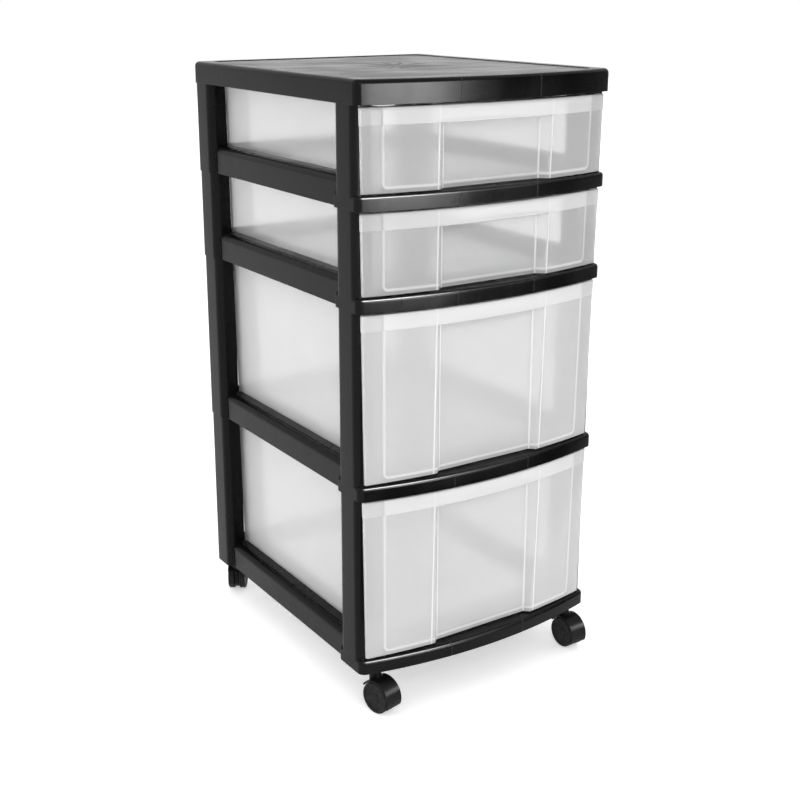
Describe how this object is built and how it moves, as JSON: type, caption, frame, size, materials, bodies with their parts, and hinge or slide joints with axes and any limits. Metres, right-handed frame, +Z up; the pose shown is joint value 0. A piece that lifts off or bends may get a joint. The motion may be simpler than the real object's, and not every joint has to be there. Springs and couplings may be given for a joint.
{
  "type": "plastic drawer tower",
  "caption": "Narrow plastic storage tower on swivel casters: stacked black frames under a tray-topped cover hold sliding frosted drawers, shallow ones above and deep ones below.",
  "frame": {"origin": "middle of the footprint, on the floor under the wheels", "axes": "+Z up, the tower's height; the drawers' bowed front faces -Y; +X to the right of someone facing the front"},
  "size_m": [0.31, 0.3862, 0.6549],
  "materials": {
    "cabinet_plastic": "moulded black polypropylene with a fine satin grain",
    "drawer_plastic": "frosted clear polypropylene, satin",
    "caster_plastic": "moulded black nylon, semi-gloss",
    "wheel_plastic": "moulded black nylon, satin",
    "steel": "zinc-plated"
  },
  "bodies": {
    "cabinet": {"top_cover": "cabinet_plastic", "bottom_frame": "cabinet_plastic", "lower_frame": "cabinet_plastic", "upper_frame": "cabinet_plastic", "top_frame": "cabinet_plastic", "front_left_stem": "steel", "front_left_snap_ring": "steel", "front_right_stem": "steel", "front_right_snap_ring": "steel", "rear_left_stem": "steel", "rear_left_snap_ring": "steel", "rear_right_stem": "steel", "rear_right_snap_ring": "steel"},
    "bottom_drawer": {"bottom_drawer": "drawer_plastic"},
    "lower_drawer": {"lower_drawer": "drawer_plastic"},
    "upper_drawer": {"upper_drawer": "drawer_plastic"},
    "top_drawer": {"top_drawer": "drawer_plastic"},
    "front_left_caster": {"front_left_hood": "caster_plastic", "front_left_axle": "steel"},
    "front_left_left_wheel": {"front_left_left_wheel": "wheel_plastic"},
    "front_left_right_wheel": {"front_left_right_wheel": "wheel_plastic"},
    "front_right_caster": {"front_right_hood": "caster_plastic", "front_right_axle": "steel"},
    "front_right_left_wheel": {"front_right_left_wheel": "wheel_plastic"},
    "front_right_right_wheel": {"front_right_right_wheel": "wheel_plastic"},
    "rear_left_caster": {"rear_left_hood": "caster_plastic", "rear_left_axle": "steel"},
    "rear_left_left_wheel": {"rear_left_left_wheel": "wheel_plastic"},
    "rear_left_right_wheel": {"rear_left_right_wheel": "wheel_plastic"},
    "rear_right_caster": {"rear_right_hood": "caster_plastic", "rear_right_axle": "steel"},
    "rear_right_left_wheel": {"rear_right_left_wheel": "wheel_plastic"},
    "rear_right_right_wheel": {"rear_right_right_wheel": "wheel_plastic"}
  },
  "joints": [
    {"name": "bottom_drawer_slide", "type": "slide", "parent": "cabinet", "child": "bottom_drawer", "axis": [0, -1, 0], "range_m": [0, 0.24]},
    {"name": "lower_drawer_slide", "type": "slide", "parent": "cabinet", "child": "lower_drawer", "axis": [0, -1, 0], "range_m": [0, 0.24]},
    {"name": "upper_drawer_slide", "type": "slide", "parent": "cabinet", "child": "upper_drawer", "axis": [0, -1, 0], "range_m": [0, 0.24]},
    {"name": "top_drawer_slide", "type": "slide", "parent": "cabinet", "child": "top_drawer", "axis": [0, -1, 0], "range_m": [0, 0.24]},
    {"name": "front_left_swivel", "type": "hinge", "parent": "cabinet", "child": "front_left_caster", "pos_m": [-0.1293, -0.16212, 0.047], "axis": [0, 0, 1], "continuous": true},
    {"name": "front_left_left_wheel_spin", "type": "hinge", "parent": "front_left_caster", "child": "front_left_left_wheel", "pos_m": [-0.12733, -0.17039, 0.01725], "axis": [0.9728, 0.2317, 0], "continuous": true},
    {"name": "front_left_right_wheel_spin", "type": "hinge", "parent": "front_left_caster", "child": "front_left_right_wheel", "pos_m": [-0.12733, -0.17039, 0.01725], "axis": [0.9728, 0.2317, 0], "continuous": true},
    {"name": "front_right_swivel", "type": "hinge", "parent": "cabinet", "child": "front_right_caster", "pos_m": [0.1293, -0.16212, 0.047], "axis": [0, 0, 1], "continuous": true},
    {"name": "front_right_left_wheel_spin", "type": "hinge", "parent": "front_right_caster", "child": "front_right_left_wheel", "pos_m": [0.12948, -0.17062, 0.01725], "axis": [0.9998, 0.0209, 0], "continuous": true},
    {"name": "front_right_right_wheel_spin", "type": "hinge", "parent": "front_right_caster", "child": "front_right_right_wheel", "pos_m": [0.12948, -0.17062, 0.01725], "axis": [0.9998, 0.0209, 0], "continuous": true},
    {"name": "rear_left_swivel", "type": "hinge", "parent": "cabinet", "child": "rear_left_caster", "pos_m": [-0.1293, 0.16388, 0.047], "axis": [0, 0, 1], "continuous": true},
    {"name": "rear_left_left_wheel_spin", "type": "hinge", "parent": "rear_left_caster", "child": "rear_left_left_wheel", "pos_m": [-0.12442, 0.17084, 0.01725], "axis": [-0.8192, 0.5736, 0], "continuous": true},
    {"name": "rear_left_right_wheel_spin", "type": "hinge", "parent": "rear_left_caster", "child": "rear_left_right_wheel", "pos_m": [-0.12442, 0.17084, 0.01725], "axis": [-0.8192, 0.5736, 0], "continuous": true},
    {"name": "rear_right_swivel", "type": "hinge", "parent": "cabinet", "child": "rear_right_caster", "pos_m": [0.1293, 0.16388, 0.047], "axis": [0, 0, 1], "continuous": true},
    {"name": "rear_right_left_wheel_spin", "type": "hinge", "parent": "rear_right_caster", "child": "rear_right_left_wheel", "pos_m": [0.12442, 0.17084, 0.01725], "axis": [-0.8192, -0.5736, 0], "continuous": true},
    {"name": "rear_right_right_wheel_spin", "type": "hinge", "parent": "rear_right_caster", "child": "rear_right_right_wheel", "pos_m": [0.12442, 0.17084, 0.01725], "axis": [-0.8192, -0.5736, 0], "continuous": true}
  ]
}
